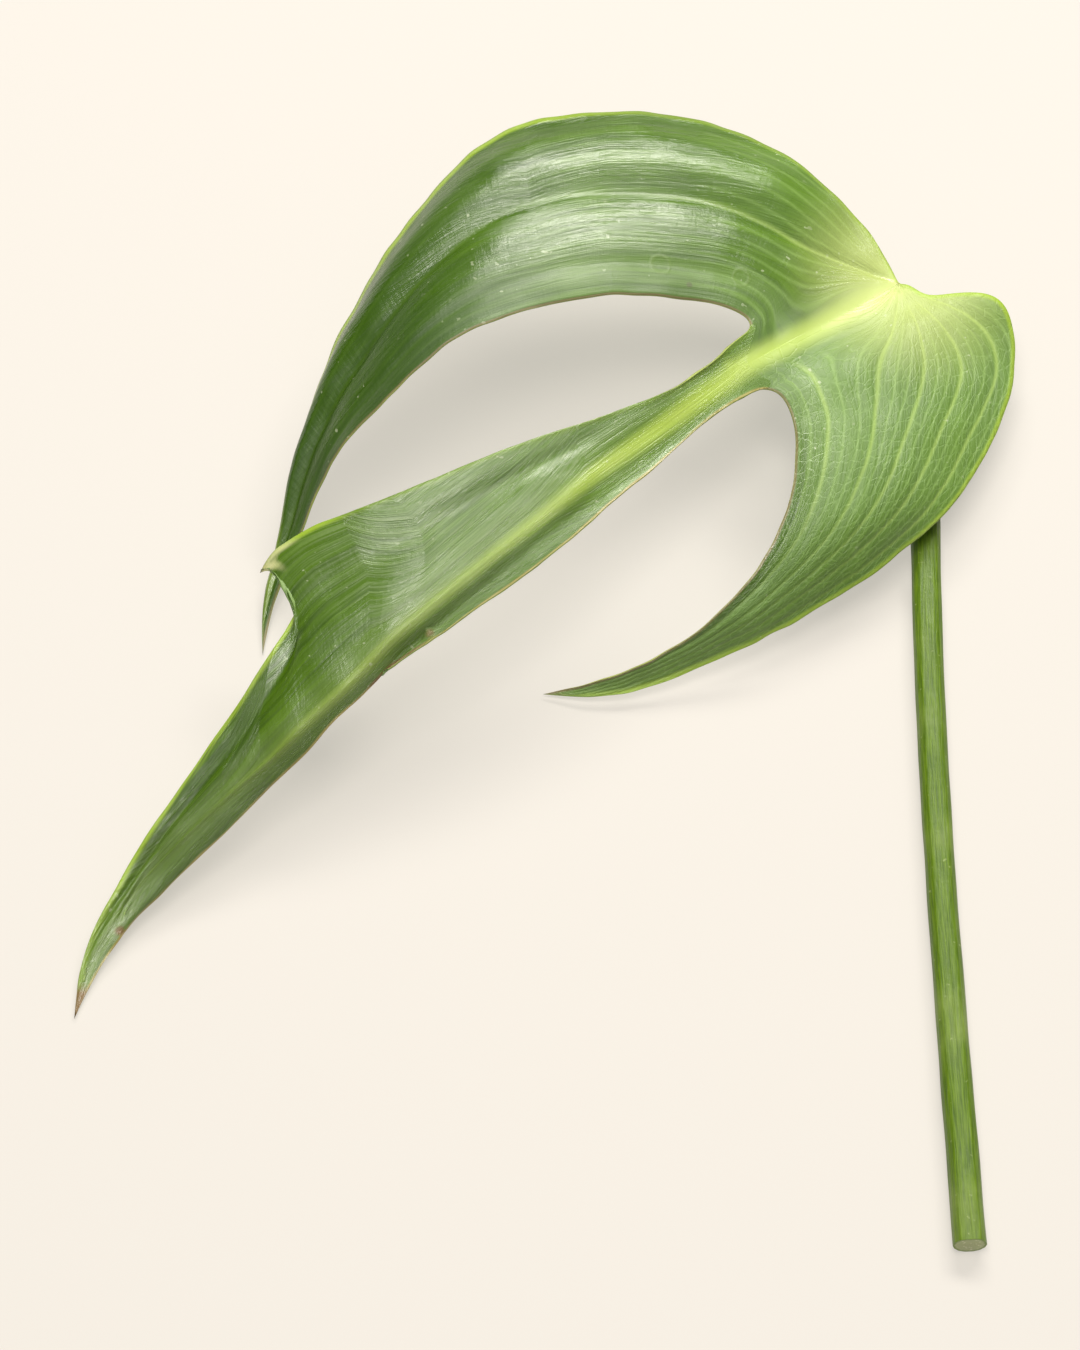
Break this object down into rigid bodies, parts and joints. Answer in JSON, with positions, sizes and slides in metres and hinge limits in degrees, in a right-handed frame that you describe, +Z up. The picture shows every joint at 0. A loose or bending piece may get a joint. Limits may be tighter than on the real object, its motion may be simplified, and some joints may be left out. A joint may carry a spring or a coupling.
{
  "type": "monstera leaf",
  "caption": "Picked monstera leaf lying face up: a thin arched blade with long pointed lobes, deep rounded gaps and a ribbed underside, on a round leaf stem that swells and bends at the root.",
  "frame": {"origin": "centre of the leaf's bounding box, on the surface that it lies on", "axes": "+Z up from that surface, +Y from the stem's cut end towards the blade's root, along the lying stem, and +X to the right seen from above with the cut end nearest; the midrib runs from the root towards -X and -Y"},
  "size_m": [0.2086, 0.262, 0.0456],
  "materials": {
    "leaf": "waxy gloss on top, matte below",
    "stem": "satin"
  },
  "bodies": {
    "root": {"blade": "leaf", "petiole": "stem"}
  },
  "joints": []
}
